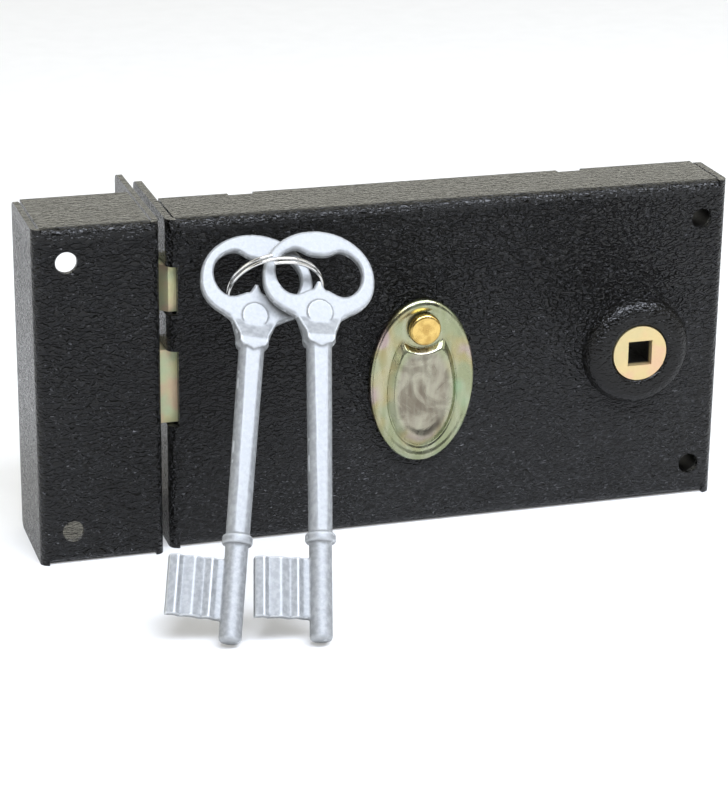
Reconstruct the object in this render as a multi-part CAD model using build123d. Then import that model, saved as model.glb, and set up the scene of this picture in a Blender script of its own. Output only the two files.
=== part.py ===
from build123d import *
import os
from math import acos, cos, pi, radians, sin, sqrt

# Rim box lock for the inner face of a door: a folded steel case with its forend, a sprung
# latch worked by a square follower, a warded deadbolt, a folded keeper and two bit keys.
# Millimetres. X runs from the keeper to the follower, Y into the door, Z up.
# The origin is the middle of the underside of the case.

# Case: one folded steel sheet
case_width = 142.0
case_height = 83.0
case_depth = 19.0
case_sheet = 1.8
case_bend = 2.3
forend_reach = 17.8
sheet_corner = 2.0
overrun = 3.0

# Back plate and what holds it
back_sheet = 1.5
plate_gap = 0.3
tab_width = 6.0
tab_centres = (22.4, 106.8)
tab_drop = 0.6
pillar_radius = 3.5
pillars_from_left = (24.0, 95.0)
pillar_insets = (13.0, 7.0)
plate_screw_radius = 1.5
plate_screw_head = 3.0
plate_screw_length = 9.0
screw_slot = 0.8

# Fixing holes of the case, with a spacer tube behind each
fixing_from_right = 6.6
fixing_insets = (8.5, 9.5)
fixing_radius = 2.6
tube_wall = 1.5
forend_screw_radius = 2.3
forend_screw_head = 3.4
forend_screw_inset = 13.5

# Follower and the pressed rose round it
follower_from_right = 23.0
follower_height_share = 0.494
spindle_square = 6.3
collar_radius = 7.0
running_gap = 0.05
follower_body_radius = 10.0
follower_body_front = 4.5
follower_body_length = 7.5
arm_tip_radius = 2.8
arm_gap = 0.4
arm_root_radius = 6.5
arm_front = 6.0
arm_thickness = 5.0
rose_radius = 14.0
rose_flat_radius = 9.8
rose_height = 4.0
rose_sheet = 1.3
rose_shoulder_share = 0.72
rose_lip_round = 1.1
face_recess = 0.2

# Bolts: two heads behind the face, each with a flat steel tail
bolt_front = 3.0
bolt_thickness = 11.0
slot_gap = 0.3
slot_return = 2.5
head_round = 0.6
tail_front = 7.5
tail_sheet = 2.0
rivet_radius = 1.5
rivet_inset = 5.0
latch_height_share = 0.788
latch_head_share = 0.1386
latch_throw = 8.5
latch_overtravel = 0.4
latch_head_length = 24.0
latch_bevel_start = 0.85
latch_nose = 1.5
latch_tail_drop = 1.5
latch_tail_share = 0.1157
lug_width = 5.0
contact_gap = 0.3
deadbolt_height_share = 0.494
deadbolt_head_share = 0.2217
deadbolt_throw = 13.0
deadbolt_head_length = 31.0
deadbolt_tail_shares = (0.346, 0.8)
deadbolt_tail_end = 84.0

# Studs, springs and their posts
stud_from_left = 42.0
stud_radius = 2.5
stud_collar_radius = 4.0
stud_gap = 0.2
spring_wire = 0.8
spring_radius = 2.2
spring_turns = 8
spring_window_start = 82.0
spring_window_half = 2.9
spring_post_from_left = 106.0
post_radius = 2.3
detent_strip = 0.6
detent_width = 5.0
detent_from_left = 80.0
detent_depth = 1.4
detent_radius = 1.9
detent_clearance = 0.3
detent_post_from_left = 104.0
hook_angle = 250.0

# Keyhole, its profiled plate and the swinging cover
key_from_left = 62.8
keyhole_height_share = 0.4337
keyhole_gap = 0.35
keyhole_plate_sheet = 1.2
keyhole_plate_width = 22.0
keyhole_plate_margin = 5.0
cover_width = 26.6
cover_length = 41.7
cover_hang = 13.7
cover_sheet = 1.0
cover_depth = 2.2
cover_rim_width = 2.0
cover_rim_height = 0.8
cover_boss_height = 0.6
cover_edge_round = 0.9
pivot_rise = 15.9
pivot_radius = 1.8
pivot_head_radius = 4.0
pivot_head_height = 1.6
dome_share = 0.6
washer_radius = 4.5
cover_gap = 0.3

# Keeper: a second folded box with a striking plate that laps the door frame
keeper_width = 30.0
keeper_extra_height = 0.6
keeper_depth = 26.5
keeper_sheet = 1.4
keeper_bend = 2.0
striking_depth = 44.0
keeper_from_forend = 2.1
keeper_proud = 2.3
keeper_fixing_from_left = 7.9
keeper_fixing_inset = 8.3
window_gap = 1.2

# Bit keys
shank_length = 69.6
bow_rise = 16.7
bow_half_width = 13.3
bow_crown = 11.5
bow_thickness = 2.6
bow_bevel = 0.5
bow_flank_shares = ((0.97, 0.2), (0.88, 0.34), (0.63, 0.5), (0.4, 0.615), (0.3, 0.83))
neck_half_share = 0.29
neck_foot_share = 0.8
neck_corner = 1.0
neck_point_drop = 1.3
neck_thickness = 6.2
neck_straight = 2.0
neck_blend = 8.0
neck_draft = 12.0
neck_first_point = 3
hole_half_share = 0.78
hole_lift_share = 0.1
lobe_share = 0.48
lobe_points = ((0.5, 1.0), (0.93, 0.5), (1.0, 0.0), (0.88, -0.67), (0.52, -1.0), (0.2, -0.75))
dip_share = 0.76
spike_share = 0.36
spike_half = 0.4
boss_rise = 8.0
boss_radius = 3.0
boss_proud = 0.5
shank_top_radius = 3.0
shank_low_radius = 2.75
shank_flat_half = 2.6
pin_radius = 2.6
pin_round = 1.1
key_collar_low = 22.6
key_collar_height = 2.3
key_collar_radius = 3.5
key_collar_round = 0.6
bit_low = 5.1
bit_height = 13.9
bit_reach = 15.2
bit_thickness = 2.2
bit_crest = 1.5
bit_trough = 0.5
bit_crest_shares = (0.87, 0.62, 0.36)
bit_trough_shares = (0.79, 0.47, 0.27)

# How the keys lean on the case, and the ring that joins them
lean_height_share = 0.927
key_tilts = (13.0, 8.9)
key_tip_places = (0.0, 20.0)
floor_gap = 0.2
lean_gap = 0.4
bow_gap = 1.0
ring_cross_places = ((-6.0, 84.6), (-0.1, 88.1))
ring_wire = 0.8
ring_pitch = 1.25
ring_turns = 2
ring_slack = 0.8
ring_swing = 69.0

# Places that follow from the sizes
left_x = -case_width / 2
right_x = case_width / 2
face_y = -case_depth / 2
door_y = case_depth / 2
inner_y = face_y + case_sheet
plate_y = door_y - back_sheet
flange_x = left_x + case_bend
fixing_x = right_x - fixing_from_right
fixing_heights = (fixing_insets[0], case_height - fixing_insets[1])
forend_screw_heights = (forend_screw_inset, case_height - forend_screw_inset)
pillar_places = (
    (left_x + pillars_from_left[0], pillar_insets[0]),
    (left_x + pillars_from_left[1], case_height - pillar_insets[1]),
)
follower_x = right_x - follower_from_right
follower_height = case_height * follower_height_share
key_x = left_x + key_from_left
keyhole_height = case_height * keyhole_height_share
pivot_height = keyhole_height + pivot_rise
cover_centre_height = pivot_height - cover_hang
bolt_y = face_y + bolt_front
tail_y = face_y + tail_front
stud_x = left_x + stud_from_left
latch_height = case_height * latch_height_share
latch_head_height = case_height * latch_head_share
latch_tip_x = left_x - latch_throw
latch_tail_height = latch_height - latch_tail_drop
latch_tail_width = case_height * latch_tail_share
latch_tail_low = latch_tail_height - latch_tail_width / 2
arm_radius = latch_tail_low - arm_gap - arm_tip_radius - follower_height
deadbolt_height = case_height * deadbolt_height_share
deadbolt_head_height = case_height * deadbolt_head_share
deadbolt_tip_x = left_x - deadbolt_throw
tail_room = latch_tail_low - keyhole_height
deadbolt_tail_low = keyhole_height + tail_room * deadbolt_tail_shares[0]
deadbolt_tail_top = keyhole_height + tail_room * deadbolt_tail_shares[1]
deadbolt_stud_height = (deadbolt_tail_low + deadbolt_tail_top) / 2
keeper_x = left_x - keeper_from_forend
keeper_y = face_y - keeper_proud
keeper_left = keeper_x - keeper_width
keeper_height = case_height + keeper_extra_height
bow_height = shank_length + bow_rise


def upright(sketch, front, back):
    """Solid between two Y values from a sketch drawn in X and Z."""
    return Pos(0, back, 0) * extrude(Plane.XZ * sketch, back - front)


def flat(sketch, low, high):
    """Solid between two Z values from a sketch drawn in X and Y."""
    return Pos(0, 0, low) * extrude(sketch, high - low)


def box(x_range, y_range, z_range):
    """Block given by its ends along each axis."""
    ends = (x_range, y_range, z_range)
    sizes = [high - low for low, high in ends]
    return Pos(*[(low + high) / 2 for low, high in ends]) * Box(*sizes)


def rod(x, z, radius, front, back):
    """Round bar along Y."""
    return upright(Pos(x, z) * Circle(radius), front, back)


def slot(x_start, x_end, z, radius):
    """Round-ended slot along X, as a sketch in X and Z."""
    length = x_end - x_start
    return Pos((x_start + x_end) / 2, z) * SlotOverall(length, 2 * radius)


def strip_end(left, front, sheet, bend, reach, height, corner):
    """One upright flange of a folded box with its bend, on the left of the front."""
    centre = (left + bend, front + bend)
    outer = CenterArc(centre, bend, 180, 90)
    inner = CenterArc(centre, bend - sheet, 180, 90)
    leg = Polyline(
        (left, front + bend),
        (left, front + reach),
        (left + sheet, front + reach),
        (left + sheet, front + bend),
    )
    end = Line((left + bend, front), (left + bend, front + sheet))
    solid = flat(make_face(outer + inner + leg + end), 0, height)
    back_edges = solid.edges().filter_by(Axis.X).group_by(Axis.Y)[-1]
    return fillet(back_edges, corner)


def folded_box(left, right, front, depth, height, sheet, bend, reaches, corner):
    """Box open at the back, folded from one sheet, with a slit at each upright corner."""
    start = left + bend
    end = right - bend
    outside = box((start, end), (front, front + depth), (0, height))
    outside = fillet(outside.edges().filter_by(Axis.X).group_by(Axis.Y)[0], bend)
    inside = box(
        (start - overrun, end + overrun),
        (front + sheet, front + depth + overrun),
        (sheet, height - sheet),
    )
    inside = fillet(inside.edges().filter_by(Axis.X).group_by(Axis.Y)[0], bend - sheet)
    left_end = strip_end(left, front, sheet, bend, reaches[0], height, corner)
    right_end = strip_end(-right, front, sheet, bend, reaches[1], height, corner)
    return outside - inside + left_end + mirror(right_end, Plane.YZ)


def countersunk(x, y, z, hole, head, sheet):
    """Tool for a screw hole through an upright flange, sunk from the -X side."""
    shaft = Pos(x, y, z) * Rot(0, 90, 0) * Cylinder(hole, 2 * overrun)
    cone = Pos(x + (head - hole) / 2, y, z) * Rot(0, 90, 0) * Cone(head, hole, head - hole)
    return shaft + cone


def rose_outline(radius, flat_radius, height):
    """Half section of the pressed rose: a round shoulder up to a flat ring."""
    middle = (
        flat_radius + (radius - flat_radius) * rose_shoulder_share,
        height * rose_shoulder_share,
    )
    shoulder = ThreePointArc((radius, 0), middle, (flat_radius, height))
    rest = Polyline((flat_radius, height), (0, height), (0, 0), (radius, 0))
    return make_face(shoulder + rest)


def rose(radius, flat_radius, height):
    """Solid dome standing out of the face round the follower."""
    dome = revolve(Plane.XZ * rose_outline(radius, flat_radius, height), Axis.Z)
    return Pos(follower_x, face_y, follower_height) * Rot(90, 0, 0) * dome


def bolt_slot(height, head_height):
    """Slot in the forend that runs round the bend, so that the bolt shows from the front."""
    low = height - head_height / 2 - slot_gap
    high = height + head_height / 2 + slot_gap
    back = bolt_y + bolt_thickness + slot_gap
    through = box((left_x - overrun, flange_x), (bolt_y - slot_gap, back), (low, high))
    open_front = box(
        (left_x - overrun, left_x + slot_return),
        (face_y - overrun, bolt_y),
        (low, high),
    )
    return through + open_front


def keyhole(gap, reach_gap):
    """Round hole with a straight slot below it, as a sketch in X and Z."""
    half = bit_crest + gap
    low = keyhole_height - bit_reach - reach_gap
    slot_height = keyhole_height - low
    slot_part = Pos(key_x, low + slot_height / 2) * Rectangle(2 * half, slot_height)
    return Pos(key_x, keyhole_height) * Circle(shank_top_radius + gap) + slot_part


def tab_notches(z_range):
    """Cuts in the back edge of one wall for the tabs of the back plate."""
    notches = Part()
    for centre in tab_centres:
        x = left_x + centre
        half = tab_width / 2 + plate_gap / 2
        notches += box((x - half, x + half), (plate_y, door_y + overrun), z_range)
    return notches


def make_case():
    """Case with forend, pressed rose, bolt slots, keyhole and screw holes."""
    body = folded_box(
        left_x,
        right_x,
        face_y,
        case_depth,
        case_height,
        case_sheet,
        case_bend,
        (case_depth + forend_reach, case_depth),
        sheet_corner,
    )
    body += rose(rose_radius, rose_flat_radius, rose_height)
    hollow_height = rose_height - rose_sheet + case_sheet
    hollow = rose(rose_radius - rose_sheet, rose_flat_radius - rose_sheet / 2, hollow_height)
    body -= Pos(0, case_sheet, 0) * hollow
    bore_front = face_y - rose_height - overrun
    bore = collar_radius + running_gap
    body -= rod(follower_x, follower_height, bore, bore_front, inner_y)
    lip = body.edges().filter_by(GeomType.CIRCLE)
    lip = lip.filter_by(lambda edge: edge.radius == bore).sort_by(Axis.Y)[0]
    body = fillet(lip, rose_lip_round)
    body -= bolt_slot(latch_height, latch_head_height)
    body -= bolt_slot(deadbolt_height, deadbolt_head_height)
    body -= upright(keyhole(2 * keyhole_gap, keyhole_gap), face_y - overrun, inner_y + overrun)
    body -= rod(key_x, pivot_height, pivot_radius, face_y - overrun, inner_y + overrun)
    for height in fixing_heights:
        body -= rod(fixing_x, height, fixing_radius, face_y - overrun, inner_y + overrun)
    body -= tab_notches((case_height - case_sheet - overrun, case_height + overrun))
    body -= tab_notches((-overrun, case_sheet + overrun))
    screw_y = door_y + forend_reach / 2
    for height in forend_screw_heights:
        body -= countersunk(
            left_x, screw_y, height, forend_screw_radius, forend_screw_head, case_sheet
        )
    return body


def make_back_plate():
    """Flat plate that closes the case, with tabs in the notches of its walls."""
    left = left_x + case_sheet + plate_gap
    right = right_x - case_sheet - plate_gap
    low = case_sheet + plate_gap
    high = case_height - case_sheet - plate_gap
    plate = box((left, right), (plate_y, door_y), (low, high))
    for centre in tab_centres:
        x = left_x + centre
        half = tab_width / 2
        z_range = (tab_drop, case_height - tab_drop)
        plate += box((x - half, x + half), (plate_y, door_y), z_range)
    holes = keyhole(2 * keyhole_gap, keyhole_gap)
    holes += Pos(follower_x, follower_height) * Circle(collar_radius + running_gap)
    for height in fixing_heights:
        holes += Pos(fixing_x, height) * Circle(fixing_radius)
    plate -= upright(holes, plate_y - overrun, door_y + overrun)
    for x, height in pillar_places:
        place = Pos(x, plate_y, height) * Rot(-90, 0, 0)
        sink = Cone(
            plate_screw_radius,
            plate_screw_head,
            back_sheet,
            align=(Align.CENTER, Align.CENTER, Align.MIN),
        )
        plate -= place * sink
    return plate


def make_screw_tubes():
    """Spacer tubes that keep the case from crushing when it is screwed up."""
    tubes = Part()
    for height in fixing_heights:
        tube = rod(fixing_x, height, fixing_radius + tube_wall, inner_y, plate_y)
        tubes += tube - rod(fixing_x, height, fixing_radius, inner_y, plate_y)
    return tubes


def make_pillars():
    """Tapped posts welded inside the face, which the back plate is screwed to."""
    pillars = Part()
    for x, height in pillar_places:
        post = rod(x, height, pillar_radius, inner_y, plate_y)
        tap_end = plate_y - plate_screw_length + back_sheet
        pillars += post - rod(x, height, plate_screw_radius, tap_end, plate_y)
    return pillars


def make_plate_screws():
    """Countersunk screws through the back plate."""
    screws = Part()
    for x, height in pillar_places:
        head = Cone(
            plate_screw_radius,
            plate_screw_head,
            back_sheet,
            align=(Align.CENTER, Align.CENTER, Align.MIN),
        )
        screw = Pos(x, plate_y, height) * Rot(-90, 0, 0) * head
        tip = plate_y - plate_screw_length + back_sheet
        screw += rod(x, height, plate_screw_radius, tip, plate_y)
        groove = box(
            (x - plate_screw_head, x + plate_screw_head),
            (door_y - screw_slot, door_y + overrun),
            (height - screw_slot / 2, height + screw_slot / 2),
        )
        screws += screw - groove
    return screws


def make_follower():
    """Hub with a square hole, two bearing collars and one arm that draws the latch."""
    front = face_y - rose_height + face_recess
    hub = rod(follower_x, follower_height, collar_radius, front, door_y - face_recess)
    body_front = face_y + follower_body_front
    body_back = body_front + follower_body_length
    hub += rod(follower_x, follower_height, follower_body_radius, body_front, body_back)
    tip_height = follower_height + arm_radius
    root_x = follower_x + arm_tip_radius - arm_root_radius
    root = Pos(root_x, follower_height) * Circle(arm_root_radius)
    tip = Pos(follower_x, tip_height) * Circle(arm_tip_radius)
    arm = make_hull(root.edges() + tip.edges())
    arm_start = face_y + arm_front
    hub += upright(arm, arm_start, arm_start + arm_thickness)
    square = Pos(follower_x, follower_height) * Rectangle(spindle_square, spindle_square)
    return hub - upright(square, front - overrun, door_y + overrun)


def make_latch_bolt():
    """Latch head, bevelled on the face side, with a slot behind for its tail."""
    back = bolt_y + bolt_thickness
    outline = Polyline(
        (latch_tip_x, back),
        (latch_tip_x, back - latch_nose),
        (left_x + latch_bevel_start, bolt_y),
        (latch_tip_x + latch_head_length, bolt_y),
        (latch_tip_x + latch_head_length, back),
        close=True,
    )
    low = latch_height - latch_head_height / 2
    head = flat(make_face(outline), low, low + latch_head_height)
    head = fillet(head.edges().filter_by(Axis.Z).group_by(Axis.X)[0], head_round)
    start = latch_tip_x + latch_head_length - 2 * rivet_inset
    room = box(
        (start, start + latch_head_length),
        (tail_y, tail_y + tail_sheet),
        (low - overrun, low + latch_head_height + overrun),
    )
    return head - room - latch_rivet_bars()


def latch_rivet_bars():
    """Two rivets through the latch head and its tail."""
    x = latch_tip_x + latch_head_length - rivet_inset
    spread = latch_tail_width / 4
    bars = Part()
    for height in (latch_tail_height - spread, latch_tail_height + spread):
        bars += rod(x, height, rivet_radius, bolt_y, bolt_y + bolt_thickness)
    return bars


def make_latch_tail():
    """Steel strip with a stud slot, a spring window and a lug for the follower."""
    start = latch_tip_x + latch_head_length - 2 * rivet_inset
    high = latch_tail_low + latch_tail_width
    lug_x = follower_x + arm_tip_radius + contact_gap
    lug_low = follower_height + arm_radius - arm_tip_radius
    outline = Polyline(
        (start, latch_tail_low),
        (lug_x, latch_tail_low),
        (lug_x, lug_low),
        (lug_x + lug_width, lug_low),
        (lug_x + lug_width, high),
        (start, high),
        close=True,
    )
    blank = make_face(outline)
    radius = stud_radius + stud_gap
    slot_start = stud_x - latch_throw - latch_overtravel - radius
    blank -= slot(slot_start, stud_x + radius, latch_tail_height, radius)
    window_start = left_x + spring_window_start
    window_end = left_x + spring_post_from_left + post_radius + stud_gap
    window_middle = (window_start + window_end) / 2
    window_length = window_end - window_start
    blank -= Pos(window_middle, latch_tail_height) * Rectangle(
        window_length, 2 * spring_window_half
    )
    return upright(blank, tail_y, tail_y + tail_sheet) - latch_rivet_bars()


def make_deadbolt():
    """Square deadbolt head, slotted behind for its tail."""
    low = deadbolt_height - deadbolt_head_height / 2
    high = low + deadbolt_head_height
    back_end = deadbolt_tip_x + deadbolt_head_length
    head = box((deadbolt_tip_x, back_end), (bolt_y, bolt_y + bolt_thickness), (low, high))
    head = fillet(head.edges().group_by(Axis.X)[0], head_round)
    start = back_end - 2 * rivet_inset
    room = box(
        (start, back_end + overrun),
        (tail_y, tail_y + tail_sheet),
        (low - overrun, high + overrun),
    )
    return head - room - deadbolt_rivet_bars()


def deadbolt_rivet_bars():
    """Two rivets through the deadbolt head and its tail."""
    x = deadbolt_tip_x + deadbolt_head_length - rivet_inset
    spread = deadbolt_head_height / 4
    bars = Part()
    for height in (deadbolt_height - spread, deadbolt_height + spread):
        bars += rod(x, height, rivet_radius, bolt_y, bolt_y + bolt_thickness)
    return bars


def make_deadbolt_tail():
    """Steel strip with a talon for the key bit, a stud slot and two detent notches."""
    start = deadbolt_tip_x + deadbolt_head_length - 2 * rivet_inset
    head_end = start + 2 * rivet_inset
    head_low = deadbolt_height - deadbolt_head_height / 2
    end = left_x + deadbolt_tail_end + sheet_corner
    outline = Polyline(
        (start, head_low),
        (head_end, head_low),
        (head_end, deadbolt_tail_low),
        (end, deadbolt_tail_low),
        (end, deadbolt_tail_top),
        (head_end, deadbolt_tail_top),
        (head_end, head_low + deadbolt_head_height),
        (start, head_low + deadbolt_head_height),
        close=True,
    )
    blank = make_face(outline)
    half_chord = sqrt(bit_reach**2 - (deadbolt_tail_low - keyhole_height) ** 2)
    talon_width = 2 * half_chord - deadbolt_throw
    talon_x = key_x - deadbolt_throw / 2
    talon_top = keyhole_height + bit_reach + contact_gap
    talon_height = talon_top - deadbolt_tail_low
    blank -= Pos(talon_x, talon_top - talon_height) * Rectangle(talon_width, 2 * talon_height)
    radius = stud_radius + stud_gap
    blank -= slot(
        stud_x - deadbolt_throw - radius, stud_x + radius, deadbolt_stud_height, radius
    )
    notch_x = left_x + detent_from_left
    for x in (notch_x, notch_x - deadbolt_throw):
        notch = Circle(detent_radius + detent_clearance)
        blank -= Pos(x, detent_notch_height()) * notch
    return upright(blank, tail_y, tail_y + tail_sheet) - deadbolt_rivet_bars()


def make_guide_studs():
    """Shouldered studs inside the face that carry and guide the two tails."""
    studs = Part()
    for height in (latch_tail_height, deadbolt_stud_height):
        shoulder = tail_y - stud_gap
        studs += rod(stud_x, height, stud_collar_radius, inner_y, shoulder)
        studs += rod(stud_x, height, stud_radius, shoulder, plate_y - stud_gap)
    return studs


def make_spring_post():
    """Stud that the latch spring bears on."""
    x = left_x + spring_post_from_left
    return rod(x, latch_tail_height, post_radius, inner_y, plate_y - stud_gap)


def biarc(start, start_way, end, end_way):
    """Two arcs that leave one point along its direction and reach the next along its own."""
    span = end - start
    ways = start_way + end_way
    bend = 2 * (1 - start_way.dot(end_way))
    lean = span.dot(ways)
    reach = (sqrt(lean**2 + bend * span.dot(span)) - lean) / bend
    first = start + start_way * reach
    last = end - end_way * reach
    joint = (first + last) * 0.5
    middle_way = (last - first).normalized()
    return [
        TangentArc(start, joint, tangent=start_way),
        TangentArc(joint, end, tangent=middle_way),
    ]


def coil(place, radius, pitch, turns, wire_radius):
    """Round wire wound as one unbroken helix, in quarter turns, about the Z of a plane."""
    steps = 4 * turns
    points = []
    ways = []
    for step in range(steps + 1):
        turn = step / 4
        angle = 2 * pi * turn
        point = Vector(radius * cos(angle), radius * sin(angle), pitch * turn)
        way = Vector(-radius * sin(angle), radius * cos(angle), pitch / (2 * pi))
        points.append(place.from_local_coords(point))
        ways.append((place.from_local_coords(way) - place.origin).normalized())
    arcs = []
    for step in range(steps):
        arcs += biarc(points[step], ways[step], points[step + 1], ways[step + 1])
    section = Plane(origin=points[0], z_dir=ways[0]) * Circle(wire_radius)
    return sweep(section, path=Wire(arcs))


def least_coil_gap(radius, pitch, turns, wire_radius):
    """Least gap between neighbouring turns, measured on points of the helix."""
    count = 36
    least = 2 * radius
    for first in range(count):
        for second in range(count // 2, count * turns):
            angle = 2 * pi * second / count
            rise = pitch * second / count
            across = 2 * radius * sin(angle / 2)
            least = min(least, sqrt(across**2 + rise**2))
    return least - 2 * wire_radius


def make_latch_spring():
    """Compression spring in the window of the latch tail."""
    start = left_x + spring_window_start + spring_wire
    end = left_x + spring_post_from_left - post_radius - spring_wire
    pitch = (end - start) / spring_turns
    middle_y = tail_y + tail_sheet / 2
    place = Plane(origin=(start, middle_y, latch_tail_height), z_dir=(1, 0, 0))
    gap = least_coil_gap(spring_radius, pitch, spring_turns, spring_wire / 2)
    print("latch_spring least gap", round(gap, 3))
    return coil(place, spring_radius, pitch, spring_turns, spring_wire / 2)


def detent_notch_height():
    """Height of the centre of the notches, which the spring strip runs along."""
    return deadbolt_tail_top - detent_depth + detent_radius + detent_clearance


def make_detent_post():
    """Post that the detent spring is hooked round."""
    x = left_x + detent_post_from_left
    height = detent_notch_height() - post_radius - detent_strip / 2
    return rod(x, height, post_radius, inner_y, plate_y - stud_gap)


def make_detent_spring():
    """Spring strip hooked round its post, with a round bump that sits in the bolt's notch."""
    post_x = left_x + detent_post_from_left
    radius = post_radius + detent_strip / 2
    strip_z = detent_notch_height()
    bump_x = left_x + detent_from_left
    bump = detent_radius - detent_strip / 2
    hook = CenterArc((post_x, strip_z - radius), radius, 90, -hook_angle)
    run = Line((post_x, strip_z), (bump_x + bump, strip_z))
    dip = CenterArc((bump_x, strip_z), bump, 0, -180)
    lead = Line((bump_x - bump, strip_z), (bump_x - bump - detent_radius, strip_z))
    strip = Sketch()
    for path in (hook, run, dip, lead):
        strip += trace(path, line_width=detent_strip)
    middle_y = tail_y + tail_sheet / 2
    return upright(strip, middle_y - detent_width / 2, middle_y + detent_width / 2)


def bit_profile(gap):
    """Zigzag section of the key bit, X across the bit and Y forward, grown by a gap."""
    half = bit_thickness / 2
    front = [(-bit_reach, bit_trough)]
    for crest, trough in zip(bit_crest_shares, bit_trough_shares):
        front.append((-bit_reach * crest, bit_crest))
        front.append((-bit_reach * trough, bit_trough))
    front.append((0, bit_trough))
    back = [(x, y - 2 * half) for x, y in reversed(front)]
    face = make_face(Polyline(*front, *back, close=True))
    return offset(face, gap, kind=Kind.INTERSECTION) if gap else face


def make_keyhole_plate():
    """Plate inside the face whose zigzag keyhole lets in only the right bit."""
    low = keyhole_height - bit_reach - keyhole_plate_margin
    high = keyhole_height + shank_top_radius + keyhole_plate_margin
    blank = Pos(key_x, (low + high) / 2) * RectangleRounded(
        keyhole_plate_width, high - low, sheet_corner
    )
    ward = Pos(key_x, keyhole_height) * Rot(0, 0, 90) * bit_profile(keyhole_gap)
    blank -= ward
    blank -= Pos(key_x, keyhole_height) * Circle(shank_top_radius + keyhole_gap)
    return upright(blank, inner_y, inner_y + keyhole_plate_sheet)


def cover_shield():
    """Embossed egg shape below the rivet, hollowed round the rivet head, in X and Z."""
    top = pivot_height - pivot_head_radius
    bottom = cover_centre_height - cover_length / 2 + 2 * cover_rim_width
    half = cover_width / 2 - 2 * cover_rim_width
    shoulder = top - pivot_head_radius / 2
    left = Spline(
        (-half / 2, top),
        (-half, shoulder - half / 2),
        (-half / 2, bottom + half / 2),
        (0, bottom),
        tangents=[(-1, -0.2), (1, 0)],
    )
    dip = ThreePointArc((half / 2, top), (0, top - pivot_head_radius / 2), (-half / 2, top))
    outline = left + mirror(left, Plane.YZ) + dip
    return Pos(key_x, 0) * make_face(outline)


def make_key_cover():
    """Oval pressed cover: a skirt, a raised rim and an embossed shield, hung on its rivet."""
    back = face_y - cover_gap
    front = back - cover_depth
    rim_front = front - cover_rim_height
    outer = Pos(key_x, cover_centre_height) * Ellipse(cover_width / 2, cover_length / 2)
    inner = Pos(key_x, cover_centre_height) * Ellipse(
        cover_width / 2 - cover_rim_width, cover_length / 2 - cover_rim_width
    )
    hollow = Pos(key_x, cover_centre_height) * Ellipse(
        cover_width / 2 - cover_sheet, cover_length / 2 - cover_sheet
    )
    body = upright(outer, rim_front, back)
    body = fillet(body.edges().group_by(Axis.Y)[0], cover_edge_round)
    body -= upright(inner, rim_front - overrun, front)
    body -= upright(hollow, front + cover_sheet, back + overrun)
    shield = upright(cover_shield(), front - cover_boss_height, front)
    shield = chamfer(shield.faces().sort_by(Axis.Y)[0].edges(), cover_boss_height / 2)
    body += shield
    hole_front = rim_front - overrun
    return body - rod(key_x, pivot_height, pivot_radius + running_gap, hole_front, back + overrun)


def make_cover_washer():
    """Flat washer between the cover and the face, round the rivet."""
    back = face_y
    front = face_y - cover_gap - cover_depth + cover_sheet + running_gap
    ring = rod(key_x, pivot_height, washer_radius, front, back)
    return ring - rod(key_x, pivot_height, pivot_radius, front, back)


def make_cover_rivet():
    """Brass rivet with a low domed head, peened inside the face."""
    seat = face_y - cover_gap - cover_depth - running_gap
    stem = rod(key_x, pivot_height, pivot_radius, seat, inner_y)
    stem += rod(key_x, pivot_height, pivot_radius * 2, inner_y, inner_y + pivot_radius / 2)
    head = rod(key_x, pivot_height, pivot_head_radius, seat - pivot_head_height, seat)
    head = fillet(head.edges().group_by(Axis.Y)[0], pivot_head_height * dome_share)
    return stem + head


def make_keeper():
    """Keeper box, open behind, with windows for both bolts in its striking plate."""
    body = folded_box(
        keeper_left,
        keeper_x,
        keeper_y,
        keeper_depth,
        keeper_height,
        keeper_sheet,
        keeper_bend,
        (keeper_depth, striking_depth),
        sheet_corner,
    )
    for height, tall in (
        (latch_height, latch_head_height),
        (deadbolt_height, deadbolt_head_height),
    ):
        body -= box(
            (keeper_x - keeper_bend, keeper_x + overrun),
            (bolt_y - window_gap, bolt_y + bolt_thickness + window_gap),
            (height - tall / 2 - window_gap, height + tall / 2 + window_gap),
        )
    x = keeper_left + keeper_fixing_from_left
    for height in (keeper_fixing_inset, keeper_height - keeper_fixing_inset):
        body -= rod(x, height, fixing_radius, keeper_y - overrun, keeper_y + 2 * overrun)
    screw_y = keeper_y + (keeper_depth + striking_depth) / 2
    for height in forend_screw_heights:
        tool = countersunk(
            -keeper_x, screw_y, height, forend_screw_radius, forend_screw_head, keeper_sheet
        )
        body -= mirror(tool, Plane.YZ)
    return body


def flank_points():
    """Points down the left flank of the bow and neck, X across the key and Y up its length."""
    points = [(-bow_half_width, bow_height)]
    for across_share, drop_share in bow_flank_shares:
        points.append((-bow_half_width * across_share, bow_height - bow_rise * drop_share))
    points.append((-bow_half_width * neck_half_share, shank_length + neck_corner))
    return points


def foot_points():
    """Points of the V below the neck, from its left shoulder to its tip."""
    shoulder = bow_half_width * neck_half_share * neck_foot_share
    return [(-shoulder, shank_length), (0, shank_length - neck_point_drop)]


def bow_outline():
    """Outline of the bow and neck."""
    crown = EllipticalCenterArc((0, bow_height), bow_half_width, bow_crown, 0, arc_size=180)
    points = flank_points()
    flank = Spline(*points, tangents=[(0, -1), (0, -1)])
    left = flank + Polyline(points[-1], *foot_points())
    return make_face(crown + left + mirror(left, Plane.YZ))


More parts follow.
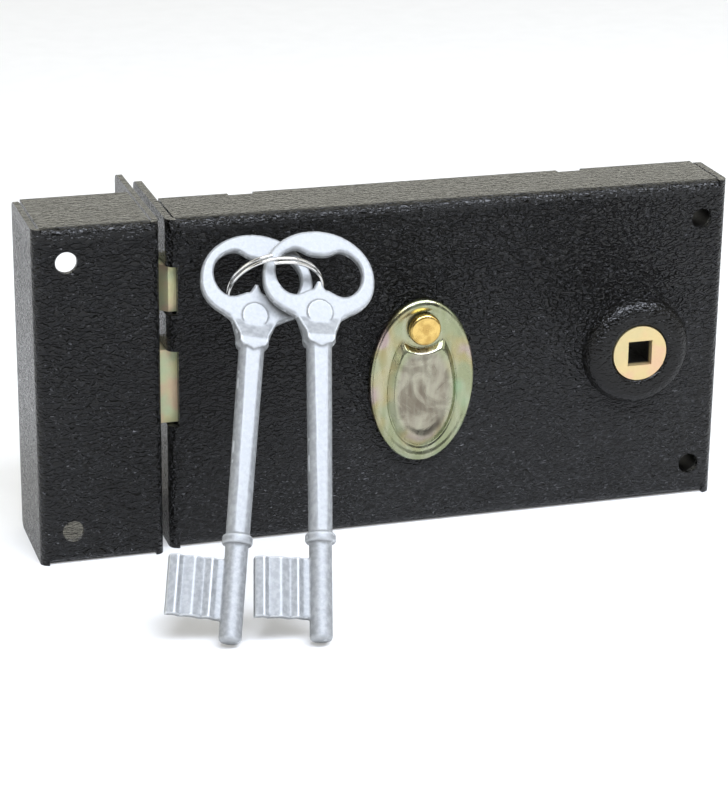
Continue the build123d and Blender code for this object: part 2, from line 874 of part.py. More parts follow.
def bow_hole():
    """Kidney hole of the bow: two lobes, a dip at the top and a spike below."""
    half = bow_half_width * hole_half_share
    middle = bow_height + bow_crown * hole_lift_share
    lobe = bow_crown * lobe_share
    dip = middle + lobe * dip_share
    spike = middle - lobe * spike_share
    points = [(spike_half, dip)]
    for across_share, rise_share in lobe_points:
        points.append((half * across_share, middle + lobe * rise_share))
    points.append((spike_half, spike))
    right = Spline(*points, tangents=[(1, 0), (-0.45, 1)])
    top = Line((-spike_half, dip), (spike_half, dip))
    tip = Line((-spike_half, spike), (spike_half, spike))
    return make_face(right + mirror(right, Plane.YZ) + top + tip)


def make_neck():
    """Thick foot of the key's neck, wedge shaped where it runs up into the flat bow."""
    foot_half = neck_thickness / 2
    bow_half = bow_thickness / 2 - bow_bevel
    low = shank_length - neck_point_drop
    straight_top = shank_length + neck_straight
    blend_top = shank_length + neck_blend
    side = Polyline(
        (-foot_half, low),
        (foot_half, low),
        (foot_half, straight_top),
        (bow_half, blend_top),
        (-bow_half, blend_top),
        (-foot_half, straight_top),
        close=True,
    )
    wedge = extrude(Plane.YZ * make_face(side), bow_half_width, both=True)
    left = Polyline(*flank_points()[neck_first_point:], *foot_points())
    right = mirror(left, Plane.YZ)
    outline = make_face(left + right + Line(left @ 0, right @ 0))
    slab = extrude(Plane.XZ * outline, foot_half, taper=neck_draft)
    return wedge & (slab + mirror(slab, Plane.XZ))


def make_shank():
    """Round shank with two long flats, a collar above the bit and a rounded pin below."""
    collar_top = key_collar_low + key_collar_height
    profile = Polyline(
        (0, 0),
        (pin_radius, 0),
        (pin_radius, key_collar_low),
        (key_collar_radius, key_collar_low),
        (key_collar_radius, collar_top),
        (shank_low_radius, collar_top),
        (shank_top_radius, shank_length),
        (0, shank_length),
        close=True,
    )
    shank = revolve(Plane.XZ * make_face(profile), Axis.Z)
    shank = fillet(shank.edges().group_by(Axis.Z)[0], pin_round)
    collar_edges = shank.edges().filter_by(GeomType.CIRCLE)
    collar_edges = collar_edges.filter_by(lambda edge: edge.radius == key_collar_radius)
    shank = fillet(collar_edges, key_collar_round)
    for side in (-1, 1):
        near = side * shank_flat_half
        far = side * key_collar_radius
        shank -= box(
            (-key_collar_radius, key_collar_radius),
            (min(near, far), max(near, far)),
            (collar_top, shank_length),
        )
    return shank


def make_key():
    """Die-cast bit key standing on its pin, bow up, bit to the left, flats to the front."""
    half = bow_thickness / 2
    bow = upright(bow_outline() - bow_hole(), -half, half)
    rims = bow.faces().filter_by(Axis.Y).edges()
    bow = chamfer(rims, bow_bevel)
    boss_height = shank_length + boss_rise
    for side in (-1, 1):
        outer = side * (half + boss_proud)
        bow += rod(0, boss_height, boss_radius, min(0, outer), max(0, outer))
    bit = mirror(flat(bit_profile(0), bit_low, bit_low + bit_height), Plane.XZ)
    stem = make_shank() + bit + make_neck()
    return bow + stem


def crown_reach():
    """Length from the pin of the first key up to the top of its tilted bow, on its slope."""
    tilt = radians(key_tilts[0])
    crown = sqrt((bow_crown * cos(tilt)) ** 2 + (bow_half_width * sin(tilt)) ** 2)
    return bow_height * cos(tilt) + crown


def key_lean():
    """Angle off the upright at which the first key rests its bow on the face."""
    return acos(case_height * lean_height_share / crown_reach())


def key_ways(tilt):
    """Directions up the key, across it and forward out of its flat, for one tilt."""
    slope = Vector(0, sin(key_lean()), cos(key_lean()))
    side = Vector(1, 0, 0)
    up = slope * cos(radians(tilt)) + side * sin(radians(tilt))
    across = side * cos(radians(tilt)) - slope * sin(radians(tilt))
    return up, across, across.cross(up) * -1


def key_plane(number):
    """Where a key stands: pin on the floor, bow leaning on the case or on the first key."""
    lean = key_lean()
    up, across, out = key_ways(key_tilts[number])
    tip_sine = sqrt(1 - up.Z**2)
    rise = pin_round * (1 - up.Z) + (pin_radius - pin_round) * tip_sine + floor_gap
    stand = sin(lean) * crown_reach() + cos(lean) * bow_thickness / 2 + lean_gap
    step = (bow_thickness + bow_gap) / cos(lean)
    x = left_x + key_tip_places[number]
    return Plane(origin=(x, face_y - stand - number * step, rise), x_dir=across, z_dir=up)


def place_key(number):
    """One key of the pair where it stands."""
    return key_plane(number).location * make_key()


def ring_cross(number):
    """Point where the ring passes through the bow of a key."""
    across, along = ring_cross_places[number]
    return key_plane(number).from_local_coords(Vector(across, 0, along))


def make_split_ring():
    """Split ring through both bows: two turns of one wire."""
    first = ring_cross(0)
    second = ring_cross(1)
    half_chord = (second - first).length / 2
    radius = half_chord + ring_slack
    way = (second - first).normalized()
    swing = radians(ring_swing) - key_lean()
    rise = Vector(0, -sin(swing), cos(swing))
    rise = (rise - way * rise.dot(way)).normalized()
    drop = sqrt(radius**2 - half_chord**2)
    centre = (first + second) * 0.5 - rise * drop
    axis = way.cross(rise)
    start = centre - axis * (ring_pitch * ring_turns / 2)
    place = Plane(origin=start, x_dir=rise, z_dir=axis)
    gap = least_coil_gap(radius, ring_pitch, ring_turns, ring_wire / 2)
    print("split_ring least gap", round(gap, 3), "radius", round(radius, 2))
    return coil(place, radius, ring_pitch, ring_turns, ring_wire / 2)


parts = {
    "case": make_case(),
    "back_plate": make_back_plate(),
    "screw_tubes": make_screw_tubes(),
    "pillars": make_pillars(),
    "plate_screws": make_plate_screws(),
    "guide_studs": make_guide_studs(),
    "keyhole_plate": make_keyhole_plate(),
    "spring_post": make_spring_post(),
    "latch_spring": make_latch_spring(),
    "detent_post": make_detent_post(),
    "detent_spring": make_detent_spring(),
    "follower": make_follower(),
    "latch_bolt": make_latch_bolt(),
    "latch_tail": make_latch_tail(),
    "latch_rivets": latch_rivet_bars(),
    "deadbolt": make_deadbolt(),
    "deadbolt_tail": make_deadbolt_tail(),
    "deadbolt_rivets": deadbolt_rivet_bars(),
    "key_cover": make_key_cover(),
    "cover_washer": make_cover_washer(),
    "cover_rivet": make_cover_rivet(),
    "keeper": make_keeper(),
    "key_1": place_key(0),
    "key_2": place_key(1),
    "split_ring": make_split_ring(),
}

os.makedirs("parts", exist_ok=True)
for name, shape in parts.items():
    export_step(shape, "parts/" + name + ".step")
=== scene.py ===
from math import cos, pi, radians, sin

import bmesh
import bpy
import numpy as np
from mathutils import Matrix, Vector


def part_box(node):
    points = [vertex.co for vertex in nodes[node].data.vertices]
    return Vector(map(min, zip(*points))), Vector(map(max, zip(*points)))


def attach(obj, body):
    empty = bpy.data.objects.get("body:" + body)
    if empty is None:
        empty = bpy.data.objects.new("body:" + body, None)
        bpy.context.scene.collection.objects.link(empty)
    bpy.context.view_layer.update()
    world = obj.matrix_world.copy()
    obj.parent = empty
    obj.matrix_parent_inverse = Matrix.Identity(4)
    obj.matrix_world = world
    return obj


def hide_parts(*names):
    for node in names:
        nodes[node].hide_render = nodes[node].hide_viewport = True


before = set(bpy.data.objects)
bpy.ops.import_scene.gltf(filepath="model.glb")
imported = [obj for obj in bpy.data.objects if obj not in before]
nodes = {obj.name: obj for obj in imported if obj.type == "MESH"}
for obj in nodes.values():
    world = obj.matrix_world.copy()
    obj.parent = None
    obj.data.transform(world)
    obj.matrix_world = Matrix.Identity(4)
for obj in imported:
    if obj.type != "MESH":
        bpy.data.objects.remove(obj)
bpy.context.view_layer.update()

# Table top, light and camera: a plain pale table in a room that is dim in front and
# bright behind. The black coat mirrors the table, and one long bluish lamp above the
# front draws the highlights on its bends; two small lamps fill in from the sides.


def new_material(name):
    """An empty node material, with its tree and the coordinates of the piece."""
    material = bpy.data.materials.new(name)
    material.use_nodes = True
    tree = material.node_tree
    tree.nodes.clear()
    return material, tree, place(tree, "ShaderNodeTexCoord").outputs["Object"]


def feed(tree, socket, value):
    """Links a socket into another, or sets a plain value on it."""
    if isinstance(value, bpy.types.NodeSocket):
        tree.links.new(value, socket)
    else:
        socket.default_value = value


def place(tree, kind, inputs=None, **settings):
    """Adds one node, sets its properties, then feeds its inputs by name or number."""
    node = tree.nodes.new(kind)
    for name, value in settings.items():
        setattr(node, name, value)
    for name, value in (inputs or {}).items():
        feed(tree, node.inputs[name], value)
    return node


def combine(tree, operation, first, second):
    """Math node on two values or sockets."""
    return place(tree, "ShaderNodeMath", {0: first, 1: second}, operation=operation).outputs[0]


def ramp(tree, value, low, high, start=0.0, end=1.0):
    """Smooth step of a value: start at low, end at high."""
    node = place(
        tree,
        "ShaderNodeMapRange",
        {"Value": value, "From Min": low, "From Max": high, "To Min": start, "To Max": end},
        interpolation_type="SMOOTHSTEP",
    )
    return node.outputs["Result"]


def noise(tree, coords, scale, detail, **more):
    """Noise between 0 and 1 over coordinates."""
    inputs = {"Vector": coords, "Scale": scale, "Detail": detail, **more}
    return place(tree, "ShaderNodeTexNoise", inputs).outputs["Fac"]


def blend_colour(tree, factor, first, second):
    """Mix of two colours, plain or sockets, by a factor."""
    node = place(tree, "ShaderNodeMix", data_type="RGBA", blend_type="MIX")
    factor_socket, first_socket, second_socket = (node.inputs[i] for i in (0, 6, 7))
    feed(tree, factor_socket, factor)
    feed(tree, first_socket, first)
    feed(tree, second_socket, second)
    return node.outputs[2]


camera_glow = 0.45
mirror_glow = 0.28
table, tree, coords = new_material("pale_table")
speck = noise(tree, coords, 90.0, 3.0)
tone = blend_colour(tree, speck, (0.6, 0.6, 0.597, 1), (0.64, 0.64, 0.637, 1))
shader = place(tree, "ShaderNodeBsdfPrincipled", {"Base Color": tone, "Roughness": 0.8})
rays = place(tree, "ShaderNodeLightPath").outputs
seen = combine(
    tree,
    "ADD",
    combine(tree, "MULTIPLY", rays["Is Camera Ray"], camera_glow),
    combine(tree, "MULTIPLY", rays["Is Glossy Ray"], mirror_glow),
)
glow = place(tree, "ShaderNodeEmission", {"Color": tone, "Strength": seen})
both = place(tree, "ShaderNodeAddShader", {0: shader.outputs[0], 1: glow.outputs[0]})
place(tree, "ShaderNodeOutputMaterial", {"Surface": both.outputs[0]})

half_table = 6.0
table_mesh = bpy.data.meshes.new("table_top")
table_mesh.from_pydata(
    [(-half_table, -half_table, 0), (half_table, -half_table, 0),
     (half_table, half_table, 0), (-half_table, half_table, 0)],
    [],
    [(0, 1, 2, 3)],
)
table_top = bpy.data.objects.new("table_top", table_mesh)
bpy.context.scene.collection.objects.link(table_top)
table_mesh.materials.append(table)

room = bpy.data.worlds.new("half_lit_room")
room.use_nodes = True
tree = room.node_tree
tree.nodes.clear()
way = place(tree, "ShaderNodeTexCoord").outputs["Generated"]
depth = place(tree, "ShaderNodeSeparateXYZ", {0: way}).outputs["Y"]
backward = ramp(tree, depth, -0.25, 0.6)
tone = blend_colour(tree, backward, (0.08, 0.08, 0.095, 1), (1.2, 1.18, 1.05, 1))
sky = place(tree, "ShaderNodeBackground", {"Color": tone, "Strength": 1.0})
place(tree, "ShaderNodeOutputWorld", {"Surface": sky.outputs[0]})
bpy.context.scene.world = room


def lamp(name, stand, aim, size, power, colour):
    """Rectangular lamp that stands at one point, turned towards another."""
    light = bpy.data.lights.new(name, "AREA")
    light.shape = "RECTANGLE"
    light.size, light.size_y = size
    light.energy = power
    light.color = colour
    holder = bpy.data.objects.new(name, light)
    beam = Vector(aim) - Vector(stand)
    holder.location = stand
    holder.rotation_euler = beam.to_track_quat("-Z", "Y").to_euler()
    bpy.context.scene.collection.objects.link(holder)


lamp("long_lamp", (0.1, -0.5, 0.78), (0.05, 0, 0.06), (1.2, 0.38), 20.0, (0.84, 0.89, 1.0))
lamp("left_lamp", (-0.85, -0.38, 0.3), (0, 0, 0.05), (0.4, 0.4), 1.6, (1.0, 0.99, 0.97))
lamp("right_lamp", (0.9, -0.5, 0.45), (0, 0, 0.05), (0.5, 0.5), 1.2, (1.0, 1.0, 1.0))

eye = Vector((-0.202897, -0.598636, 0.260309))
yaw, pitch, roll = (radians(a) for a in (17.02934522, 20.16907881, 0.69345187))
focal_pixels = 2695.287
picture_height = 800
sensor_height = 36.0
ahead = Vector((sin(yaw) * cos(pitch), cos(yaw) * cos(pitch), -sin(pitch)))
level = Vector((cos(yaw), -sin(yaw), 0))
above = level.cross(ahead)
right = cos(roll) * level + sin(roll) * above
up = -sin(roll) * level + cos(roll) * above
camera = bpy.data.objects.new("camera", bpy.data.cameras.new("camera"))
camera.data.sensor_fit = "VERTICAL"
camera.data.sensor_height = sensor_height
camera.data.lens = focal_pixels / picture_height * sensor_height
camera.data.clip_start = 0.02
camera.data.clip_end = 50.0
turn = Matrix((right, up, -ahead)).transposed().to_4x4()
camera.matrix_world = Matrix.Translation(eye) @ turn
bpy.context.scene.collection.objects.link(camera)
bpy.context.scene.camera = camera
bpy.context.scene.view_settings.view_transform = "Standard"

# Case and back plate: steel sheet, folded and pressed, then coated with a black
# wrinkle powder that shrinks into short level ripples as it is baked. The powder lies
# smoother over the top bends and on the pressed rose.


def wrinkle_group():
    """Ripples of the baked powder: soft waves, longer along X than across it."""
    group = bpy.data.node_groups.new("wrinkle", "ShaderNodeTree")
    group.interface.new_socket("Vector", in_out="INPUT", socket_type="NodeSocketVector")
    group.interface.new_socket("Length", in_out="INPUT", socket_type="NodeSocketFloat")
    group.interface.new_socket("Height", in_out="OUTPUT", socket_type="NodeSocketFloat")
    enter = group.nodes.new("NodeGroupInput")
    leave = group.nodes.new("NodeGroupOutput")
    inverse = combine(group, "DIVIDE", 1.0, enter.outputs["Length"])
    scaled = place(
        group,
        "ShaderNodeVectorMath",
        {0: enter.outputs["Vector"], "Scale": inverse},
        operation="SCALE",
    )
    drawn_out = place(
        group,
        "ShaderNodeVectorMath",
        {0: scaled.outputs[0], 1: (0.5, 1.0, 1.0)},
        operation="MULTIPLY",
    )
    waves = noise(group, drawn_out.outputs[0], 1.0, 1.5, Roughness=0.4, Distortion=0.7)
    group.links.new(ramp(group, waves, 0.3, 0.66), leave.inputs["Height"])
    return group


wrinkle = wrinkle_group()


def away_from(tree, coords, centre_x, centre_z, reach_x=1.0, reach_z=1.0):
    """Distance from a line along Y, in shares of a reach across and a reach up."""
    moved = place(
        tree, "ShaderNodeVectorMath", {0: coords, 1: (-centre_x, 0.0, -centre_z)}, operation="ADD"
    )
    flat = place(
        tree,
        "ShaderNodeVectorMath",
        {0: moved.outputs[0], 1: (1 / reach_x, 0, 1 / reach_z)},
        operation="MULTIPLY",
    )
    length = place(tree, "ShaderNodeVectorMath", {0: flat.outputs[0]}, operation="LENGTH")
    return length.outputs["Value"]


def finish_surface(tree, colour, rough, relief, strength, distance, **rest):
    """Bump and Principled shader on the material's output; rest goes to its sockets."""
    bump = place(
        tree, "ShaderNodeBump", {"Height": relief, "Strength": strength, "Distance": distance}
    )
    inputs = {"Base Color": colour, "Roughness": rough, "Normal": bump.outputs[0], **rest}
    shader = place(tree, "ShaderNodeBsdfPrincipled", inputs)
    place(tree, "ShaderNodeOutputMaterial", {"Surface": shader.outputs[0]})


def powder_coat(name, ripple_length, depth_top, depth_foot, rose=None):
    """Black coat: ripples shallower at the foot, from the top bends up and on a rose, with painted
    shade in their furrows.
    """
    coated_height = 0.075
    patch_height = 0.06
    bend_start, bend_end, bend_share = 0.0796, 0.081, 0.24
    rose_inside, rose_outside, rose_share = 0.0125, 0.0160, 0.13
    skin_front, skin_behind = -0.009, -0.008
    material, tree, coords = new_material(name)
    split = place(tree, "ShaderNodeSeparateXYZ", {0: coords}).outputs
    patch = combine(tree, "SUBTRACT", noise(tree, coords, 35.0, 2.0), 0.5)
    patch = combine(tree, "MULTIPLY", patch, patch_height)
    height = combine(tree, "ADD", split["Z"], patch)
    strong = ramp(tree, height, 0.0, coated_height, depth_foot, depth_top)
    bent = ramp(tree, split["Z"], bend_start, bend_end, 1.0, bend_share)
    strong = combine(tree, "MULTIPLY", strong, bent)
    if rose:
        out = away_from(tree, coords, *rose)
        near = ramp(tree, out, rose_inside, rose_outside, rose_share, 1.0)
        behind = ramp(tree, split["Y"], skin_front, skin_behind)
        near = combine(tree, "MAXIMUM", near, behind)
        strong = combine(tree, "MULTIPLY", strong, near)
    ripples = place(
        tree, "ShaderNodeGroup", {"Vector": coords, "Length": ripple_length}, node_tree=wrinkle
    )
    furrow = combine(tree, "SUBTRACT", 1.0, ripples.outputs["Height"])
    furrow_depth_and_shade = combine(tree, "MULTIPLY", furrow, strong)
    # Painted shade: the furrows are coloured blacker than the ripple tops, as shade in the
    # troughs, and more so higher up, where the ripples are deeper.
    colour = blend_colour(tree, furrow_depth_and_shade, (0.003, 0.0027, 0.002, 1), (0.001, 0.001, 0.001, 1))
    rough = ramp(tree, furrow_depth_and_shade, 0.0, 1.0, 0.1, 0.16)
    fine = combine(tree, "MULTIPLY", noise(tree, coords, 2100.0, 1.0), 0.08)
    relief = combine(tree, "SUBTRACT", fine, furrow_depth_and_shade)
    finish_surface(tree, colour, rough, relief, 1.0, 0.00105, **{"Specular IOR Level": 0.27})
    return material


def dress(material, *names):
    """Puts one material on every slot of the named nodes."""
    for name in names:
        mesh = nodes[name].data
        mesh.materials.clear()
        mesh.materials.append(material)


rose_centre = (0.048, 0.041002)
case_coat = powder_coat("case_coat", 0.00066, 1.05, 0.42, rose_centre)
dress(case_coat, "case", "back_plate")

# Works inside the case: rolled and turned steel, oiled, with drawn spring wire. The
# tubes behind the fixing holes are coloured near black.


def grain_group():
    """Fine drawn lines along X with faint stains, as on rolled steel."""
    group = bpy.data.node_groups.new("rolled_grain", "ShaderNodeTree")
    group.interface.new_socket("Vector", in_out="INPUT", socket_type="NodeSocketVector")
    group.interface.new_socket("Lines", in_out="OUTPUT", socket_type="NodeSocketFloat")
    group.interface.new_socket("Stain", in_out="OUTPUT", socket_type="NodeSocketFloat")
    enter = group.nodes.new("NodeGroupInput")
    leave = group.nodes.new("NodeGroupOutput")
    drawn_out = place(
        group,
        "ShaderNodeVectorMath",
        {0: enter.outputs["Vector"], 1: (120.0, 2600.0, 2600.0)},
        operation="MULTIPLY",
    )
    lines = noise(group, drawn_out.outputs[0], 1.0, 3.0)
    stain = noise(group, enter.outputs["Vector"], 170.0, 4.0)
    group.links.new(lines, leave.inputs["Lines"])
    group.links.new(stain, leave.inputs["Stain"])
    return group


grain = grain_group()


def plain_metal(name, bright, dull, rough_low, rough_high):
    """Metal between two tones, stained in patches, with the drawn lines in its gloss."""
    material, tree, coords = new_material(name)
    marks = place(tree, "ShaderNodeGroup", {"Vector": coords}, node_tree=grain).outputs
    colour = blend_colour(tree, ramp(tree, marks["Stain"], 0.35, 0.65), bright, dull)
    rough = ramp(tree, marks["Lines"], 0.3, 0.7, rough_low, rough_high)
    finish_surface(tree, colour, rough, marks["Lines"], 0.5, 0.00002, Metallic=1.0)
    return material


rolled_steel = plain_metal(
    "rolled_steel", (0.55, 0.55, 0.54, 1), (0.42, 0.41, 0.39, 1), 0.28, 0.45
)
spring_steel = plain_metal(
    "spring_steel", (0.46, 0.46, 0.48, 1), (0.3, 0.3, 0.31, 1), 0.25, 0.4
)
# Near-black steel for the tubes behind the fixing holes.
near_black_steel = plain_metal(
    "near_black_steel", (0.06, 0.058, 0.055, 1), (0.03, 0.03, 0.03, 1), 0.35, 0.55
)
dress(near_black_steel, "screw_tubes")
dress(
    rolled_steel, "pillars", "guide_studs", "keyhole_plate", "spring_post",
    "detent_post", "latch_tail", "deadbolt_tail", "latch_rivets", "deadbolt_rivets",
    "cover_washer",
)
dress(spring_steel, "latch_spring", "detent_spring")

# Follower, bolts and screws: cast or cut steel, plated with zinc and dipped in a
# yellow chromate that dries in faint green, gold and pink clouds.


def yellow_zinc(name, gold, green, pink, rough_low, rough_high, shade_start_depth=None):
    """Yellow passivate: three tones in soft clouds over fine tool marks, and painted shade, near
    black, deeper in than a given depth.
    """
    shade_ramp_length = 0.0016
    material, tree, coords = new_material(name)
    marks = place(tree, "ShaderNodeGroup", {"Vector": coords}, node_tree=grain).outputs
    moved = place(
        tree, "ShaderNodeVectorMath", {0: coords, 1: (0.31, 0.17, 0.23)}, operation="ADD"
    )
    greenish = noise(tree, coords, 130.0, 2.0)
    pinkish = noise(tree, moved.outputs[0], 130.0, 2.0)
    colour = blend_colour(tree, ramp(tree, greenish, 0.42, 0.62), gold, green)
    colour = blend_colour(tree, ramp(tree, pinkish, 0.48, 0.66), colour, pink)
    # Painted shade: past the given depth behind the piece's front, the colour turns near black,
    # standing for the shade inside the follower's square hole.
    if shade_start_depth:
        depth = place(tree, "ShaderNodeSeparateXYZ", {0: coords}).outputs["Y"]
        hole_shade = ramp(tree, depth, shade_start_depth, shade_start_depth + shade_ramp_length)
        colour = blend_colour(tree, hole_shade, colour, (0.012, 0.011, 0.01, 1))
    fine = noise(tree, coords, 1500.0, 3.0)
    rough = ramp(tree, fine, 0.3, 0.7, rough_low, rough_high)
    relief = combine(tree, "ADD", marks["Lines"], fine)
    finish_surface(tree, colour, rough, relief, 0.4, 0.00003, Metallic=0.7)
    return material


bolt_zinc = yellow_zinc(
    "bolt_zinc", (0.68, 0.65, 0.36, 1), (0.58, 0.64, 0.4, 1), (0.72, 0.55, 0.36, 1), 0.42, 0.58
)
# The follower carries painted shade, near black, from 1 mm behind its front on, for the shade in
# its square hole.
hub_zinc = yellow_zinc(
    "hub_zinc", (0.64, 0.5, 0.25, 1), (0.59, 0.49, 0.255, 1), (0.66, 0.44, 0.27, 1), 0.36, 0.5,
    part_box("follower")[0][1] + 0.0010,
)
dress(bolt_zinc, "latch_bolt", "deadbolt", "plate_screws")
dress(hub_zinc, "follower")

# Keyhole cover: thin steel, pressed with a rolled rim and a raised shield, plated like
# the bolts, and hung on a turned brass rivet so that it swings aside.


def closed_piece(name, rows, material, body):
    """Skin over rows of points, whose first and last rows each meet in one point."""
    index = np.arange(rows.shape[0] * rows.shape[1]).reshape(rows.shape[:2])
    beside = np.roll(index, -1, axis=1)
    quads = np.stack([index[:-1], beside[:-1], beside[1:], index[1:]], axis=-1)
    mesh = bpy.data.meshes.new(name)
    mesh.from_pydata(rows.reshape(-1, 3).tolist(), [], quads.reshape(-1, 4).tolist())
    mesh.update()
    shape = bmesh.new()
    shape.from_mesh(mesh)
    bmesh.ops.remove_doubles(shape, verts=shape.verts, dist=1e-7)
    bmesh.ops.recalc_face_normals(shape, faces=shape.faces)
    shape.to_mesh(mesh)
    shape.free()
    mesh.polygons.foreach_set("use_smooth", np.ones(len(mesh.polygons), bool))
    mesh.materials.append(material)
    piece = bpy.data.objects.new(name, mesh)
    bpy.context.scene.collection.objects.link(piece)
    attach(piece, body)
    return piece


cover_low, cover_high = (np.array(corner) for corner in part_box("key_cover"))
cover_middle = (cover_low + cover_high) / 2
cover_half_width = (cover_high[0] - cover_low[0]) / 2
cover_half_height = (cover_high[2] - cover_low[2]) / 2
cover_back = cover_high[1]
cover_depth = cover_high[1] - cover_low[1]
rivet_low, rivet_high = (np.array(corner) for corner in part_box("cover_rivet"))
rivet_height = (rivet_low[2] + rivet_high[2]) / 2


def smooth_step(value, low, high):
    """Cubic step from 0 at low to 1 at high: t t (3 - 2 t)."""
    t = np.clip((value - low) / (high - low), 0, 1)
    return t * t * (3 - 2 * t)


def shield_distance(x, z):
    """Distance inside the shield's edge: an egg, less a circle round the rivet."""
    top, bottom = rivet_height - 0.0042, cover_middle[2] - 0.0167
    middle = top * 0.52 + bottom * 0.48
    half_width = 0.0086
    rivet_gap = 0.0053
    corner = 0.0009
    reach = np.where(z > middle, (top - middle) * 1.36, middle - bottom)
    lobe = np.sqrt((x / half_width) ** 2 + ((z - middle) / reach) ** 2)
    egg = (1 - lobe) * half_width * 0.92
    below_rivet = np.hypot(x * 0.88, z - rivet_height) - rivet_gap
    nearer = np.minimum(egg, below_rivet)
    blend = np.clip(0.5 + 0.5 * (below_rivet - egg) / corner, 0, 1)
    return nearer - corner * blend * (1 - blend) * 0.6


def cover_front(x, z, share):
    """Lift of the pressed front: rolled rim, flat band, creased, raised and dished shield."""
    band_below_top = 0.0013
    rim_rise, crease_depth, shield_rise, dish_depth, sag_depth = (
        0.00026, 0.00022, 0.0011, 0.00045, 0.00012
    )
    inside = shield_distance(x, z)
    rim = rim_rise * smooth_step(share, 0.86, 0.93)
    crease = -crease_depth * np.exp(-((inside + 0.00012) / 0.00022) ** 2)
    shield = shield_rise * smooth_step(inside, -0.0001, 0.0013)
    dish = -dish_depth * smooth_step(inside, 0.0013, 0.0030)
    sag = sag_depth * np.sin(x * 620 + 1.0) * np.cos((z - cover_middle[2]) * 410)
    region_weight = smooth_step(inside, 0.0022, 0.0045)
    return cover_depth - band_below_top + rim + crease + shield + dish + sag * region_weight


def cover_rows():
    """Rows from the middle of the front out over the rim, down the skirt, and back inside."""
    lip_start = 0.92
    lip_drop = 0.0011
    wall = 0.0010
    inner_rise = 0.0004
    skirt_steps = 7
    angle = np.linspace(0, 2 * pi, 300, endpoint=False)
    share = np.concatenate([np.linspace(0, 0.85, 120), np.linspace(0.852, 1, 44)])[:, None]
    x = share * cover_half_width * np.cos(angle)
    z = share * cover_half_height * np.sin(angle)
    lift = cover_front(x, z + cover_middle[2], share + 0 * x)
    lip = np.clip((share - lip_start) / (1 - lip_start), 0, 1)
    lift = lift - (1 - np.sqrt(1 - lip**2 * 0.995)) * lip_drop

    def rows_at(across, rise, upward):
        """Points in the frame from places about the cover's middle and a lift off its back."""
        return np.stack(
            [across + cover_middle[0], cover_back - rise, upward + cover_middle[2]], -1
        )

    drop = np.linspace(0, 1, skirt_steps + 1)[1:, None]
    skirt = rows_at(
        np.repeat(x[-1:], skirt_steps, 0), lift[-1] * (1 - drop), np.repeat(z[-1:], skirt_steps, 0)
    )
    inner_lift = np.maximum(np.minimum(lift, lift[-1] + 0 * lift + inner_rise) - wall, 0)
    inner_lift[-1] = 0
    inner = rows_at(
        x * (1 - wall / cover_half_width), inner_lift, z * (1 - wall / cover_half_height)
    )[::-1]
    return np.concatenate([rows_at(x, lift, z), skirt, inner])


def cover_zinc():
    """Chromate on the pressing: olive band with green, gold and lilac clouds, and a darker
    grey-brown shield in the middle.
    """
    shield_drop = 0.0030
    shield_reach = (0.0075, 0.0125)
    olive, gold, green, lilac = (
        (0.27, 0.29, 0.17, 1), (0.32, 0.28, 0.14, 1), (0.265, 0.34, 0.21, 1),
        (0.36, 0.275, 0.255, 1),
    )
    pale, brown, streak_tone = (
        (0.3, 0.275, 0.21, 1), (0.165, 0.14, 0.105, 1), (0.5, 0.5, 0.38, 1)
    )
    material, tree, coords = new_material("cover_zinc")
    spread = away_from(
        tree, coords, cover_middle[0], cover_middle[2] - shield_drop, *shield_reach
    )
    region_weight = ramp(tree, spread, 1.08, 0.8)
    cloud = noise(tree, coords, 170.0, 4.0, Distortion=1.2)
    hues = noise(tree, coords, 75.0, 2.0)
    band = blend_colour(tree, ramp(tree, hues, 0.5, 0.6), olive, gold)
    band = blend_colour(tree, ramp(tree, hues, 0.45, 0.36), band, green)
    band = blend_colour(tree, ramp(tree, hues, 0.6, 0.68), band, lilac)
    shield = blend_colour(tree, ramp(tree, cloud, 0.36, 0.62), pale, brown)
    # The shield's middle is coloured a darker grey-brown than the band around it.
    colour = blend_colour(tree, region_weight, band, shield)
    streak = place(
        tree, "ShaderNodeVectorMath", {0: coords, 1: (500.0, 500.0, 110.0)}, operation="MULTIPLY"
    )
    streaks = noise(tree, streak.outputs[0], 1.0, 3.0)
    streaked = ramp(tree, streaks, 0.35, 0.7, 0.0, 0.35)
    colour = blend_colour(tree, streaked, colour, streak_tone)
    rough = ramp(tree, cloud, 0.3, 0.7, 0.2, 0.32)
    relief = combine(tree, "ADD", cloud, combine(tree, "MULTIPLY", streaks, 0.25))
    finish_surface(tree, colour, rough, relief, 0.3, 0.0003, Metallic=1.0)
    return material


cover = closed_piece("cover_pressing", cover_rows(), cover_zinc(), "key_cover")
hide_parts("key_cover")


def turned_brass():
    """Brass turned on a lathe: rings of gloss round the head's own centre."""
    material, tree, coords = new_material("turned_brass")
    away = away_from(tree, coords, cover_middle[0], rivet_height)
    rings = place(
        tree,
        "ShaderNodeTexNoise",
        {"W": away, "Scale": 5200.0, "Detail": 2.0},
        noise_dimensions="1D",
    ).outputs["Fac"]
    stain = ramp(tree, noise(tree, coords, 420.0, 3.0), 0.4, 0.65)
    colour = blend_colour(tree, stain, (0.66, 0.46, 0.15, 1), (0.48, 0.31, 0.09, 1))
    rough = ramp(tree, rings, 0.3, 0.7, 0.18, 0.3)
    finish_surface(tree, colour, rough, rings, 0.35, 0.00003, Metallic=1.0)
    return material


dress(turned_brass(), "cover_rivet")

# Keeper: a folded box of the same sheet and powder as the case, screwed to the door
# frame. Its ripples are a little longer and deeper.

keeper_coat = powder_coat("keeper_coat", 0.0007, 1.15, 0.75)
dress(keeper_coat, "keeper")

# Keys: zinc alloy, die cast in one piece and tumbled, coloured lighter along their sharpest edges.
# Both lean back and tilt the same way, by an angle of their own.

key_lean = radians(36.4766)
key_tilts = {"key_1": radians(13.0), "key_2": radians(8.9)}
key_grid = 0.00024


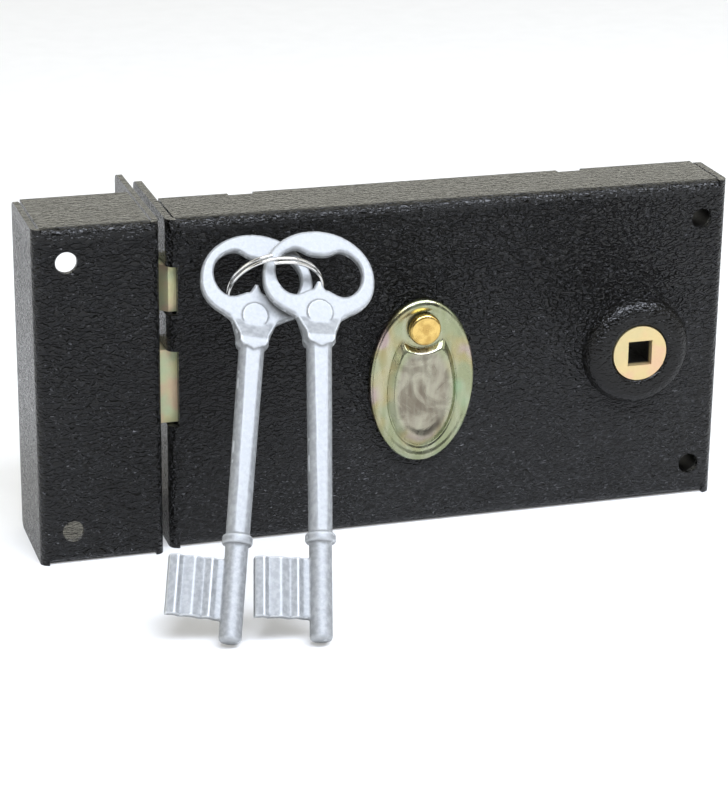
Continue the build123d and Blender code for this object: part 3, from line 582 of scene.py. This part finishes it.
def key_turn(tilt):
    """Matrix from a key's own axes, bow up along Z and flat to the front, to the frame's."""
    slope = Vector((0, sin(key_lean), cos(key_lean)))
    side = Vector((1, 0, 0))
    key_up = cos(tilt) * slope + sin(tilt) * side
    across = cos(tilt) * side - sin(tilt) * slope
    return Matrix((across, key_up.cross(across), key_up)).transposed().to_4x4()


def softened(name, node, turn_to):
    """Copy of a cast node, rebuilt on an even grid in its own axes and smoothed."""
    mesh = node.data.copy()
    mesh.transform(turn_to.inverted())
    shape = bmesh.new()
    shape.from_mesh(mesh)
    bmesh.ops.remove_doubles(shape, verts=shape.verts, dist=2e-6)
    shape.to_mesh(mesh)
    shape.free()
    rough_cast = bpy.data.objects.new(name + "_rough", mesh)
    bpy.context.scene.collection.objects.link(rough_cast)
    remesh = rough_cast.modifiers.new("even_grid", "REMESH")
    remesh.mode = "VOXEL"
    remesh.voxel_size = key_grid
    smooth = rough_cast.modifiers.new("tumbled", "SMOOTH")
    smooth.factor = 0.5
    smooth.iterations = 5
    graph = bpy.context.evaluated_depsgraph_get()
    graph.update()
    done = bpy.data.meshes.new_from_object(rough_cast.evaluated_get(graph))
    bpy.data.objects.remove(rough_cast)
    done.name = name
    done.transform(turn_to)
    done.polygons.foreach_set("use_smooth", np.ones(len(done.polygons), bool))
    piece = bpy.data.objects.new(name, done)
    bpy.context.scene.collection.objects.link(piece)
    return piece


def cast_zinc():
    """Blue-grey cast zinc: cloudy, finely pitted, coloured lighter along the sharpest edges."""
    material, tree, coords = new_material("cast_zinc")
    cloud = noise(tree, coords, 900.0, 6.0)
    pits = noise(tree, coords, 2400.0, 2.0)
    edge = place(tree, "ShaderNodeNewGeometry").outputs["Pointiness"]
    region_weight = ramp(tree, edge, 0.506, 0.54)
    colour = blend_colour(
        tree, ramp(tree, cloud, 0.35, 0.68), (0.25, 0.259, 0.262, 1), (0.34, 0.349, 0.351, 1)
    )
    # Lighter colour along the sharpest edges, by the mesh's pointiness.
    colour = blend_colour(tree, region_weight, colour, (0.52, 0.535, 0.54, 1))
    rough = ramp(tree, cloud, 0.3, 0.7, 0.5, 0.62)
    relief = combine(tree, "ADD", cloud, combine(tree, "MULTIPLY", pits, 0.3))
    finish_surface(tree, colour, rough, relief, 0.5, 0.00008, Metallic=0.5)
    return material


key_metal = cast_zinc()
for key, tilt in key_tilts.items():
    casting = softened(key + "_casting", nodes[key], key_turn(tilt))
    casting.data.materials.clear()
    casting.data.materials.append(key_metal)
    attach(casting, key)
    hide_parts(key)

# Split ring: hard steel wire wound twice round and nickel plated. It runs through both
# bows and keeps the keys together.

ring_nickel = plain_metal(
    "ring_nickel", (0.74, 0.73, 0.7, 1), (0.6, 0.59, 0.56, 1), 0.15, 0.26
)
dress(ring_nickel, "split_ring")
